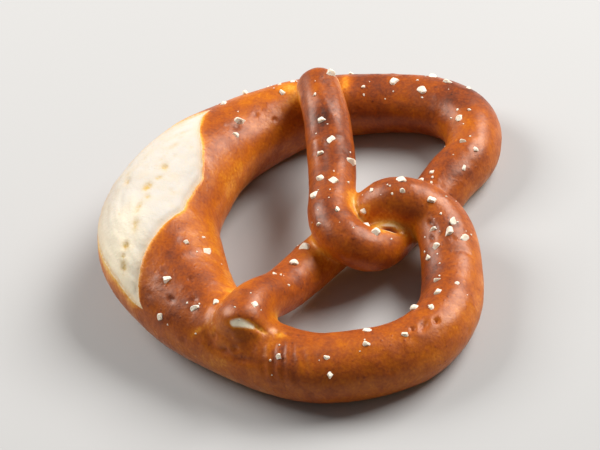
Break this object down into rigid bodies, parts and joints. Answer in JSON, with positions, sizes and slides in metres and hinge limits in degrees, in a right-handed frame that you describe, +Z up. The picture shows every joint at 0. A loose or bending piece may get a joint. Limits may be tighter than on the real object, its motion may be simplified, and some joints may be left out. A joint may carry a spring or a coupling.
{
  "type": "soft pretzel",
  "caption": "Soft lye pretzel: a rope of dough with a thick slashed belly, twisted arms pressed on its shoulders, and coarse salt.",
  "frame": {"origin": "on the surface that the pretzel lies on, under the middle of its outline", "axes": "+X across the pretzel, towards the side whose arm passes below at the near crossing; +Y from the thick belly to the lobes; +Z up"},
  "size_m": [0.145, 0.1256, 0.0304],
  "materials": {
    "crust": "glossy baked lye crust, mahogany on top and golden at the sides",
    "crumb": "matte cream-white crumb, bared where the slashed crust opened",
    "salt": "coarse white salt"
  },
  "bodies": {
    "root": {"pretzel": "crust"}
  },
  "joints": []
}
